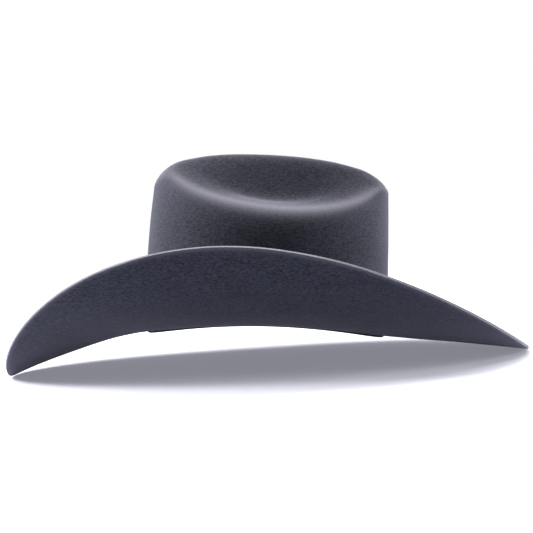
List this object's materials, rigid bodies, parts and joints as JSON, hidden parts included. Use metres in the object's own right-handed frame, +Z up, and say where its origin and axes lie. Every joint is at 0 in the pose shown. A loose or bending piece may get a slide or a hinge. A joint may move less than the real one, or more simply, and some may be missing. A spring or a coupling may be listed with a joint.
{
  "type": "felt western hat",
  "caption": "Dark felt western hat with a creased crown, a brim turned up at both sides, a narrow band with a buckle, a leather sweatband and a lining.",
  "frame": {"origin": "the centre of the hat's footprint, on the surface that it stands on", "axes": "+X to the front of the hat, +Y to the wearer's left, +Z up"},
  "size_m": [0.4194, 0.3468, 0.1708],
  "materials": {
    "felt": "brushed fur felt, matt",
    "band_felt": "cut felt strap, matt",
    "buckle_metal": "polished nickel plate",
    "leather": "smooth roan leather",
    "reed_plastic": "extruded rod",
    "sleeve_brass": "drawn tube",
    "tape": "coated woven tape",
    "thread": "twisted thread",
    "ribbon": "ribbed ribbon",
    "satin": "satin lining",
    "piping_cord": "covered cord",
    "clear_film": "clear glossy film",
    "ticket": "plain card, blank"
  },
  "bodies": {
    "root": {"felt_body": "felt", "hatband": "band_felt", "band_buckle": "buckle_metal", "buckle_prong": "buckle_metal", "band_keeper": "buckle_metal", "band_tip": "buckle_metal", "band_tacks": "thread", "sweatband": "leather", "sweatband_reed": "reed_plastic", "reed_sleeve": "sleeve_brass", "reed_tape": "tape", "sweatband_stitches": "thread", "seam_stitches": "thread", "bow_ribbon": "ribbon", "bow_knot": "ribbon", "liner_side": "satin", "liner_tip": "satin", "liner_piping": "piping_cord", "tip_shield": "clear_film", "shield_stitches": "thread", "size_tag": "ticket"}
  },
  "joints": []
}
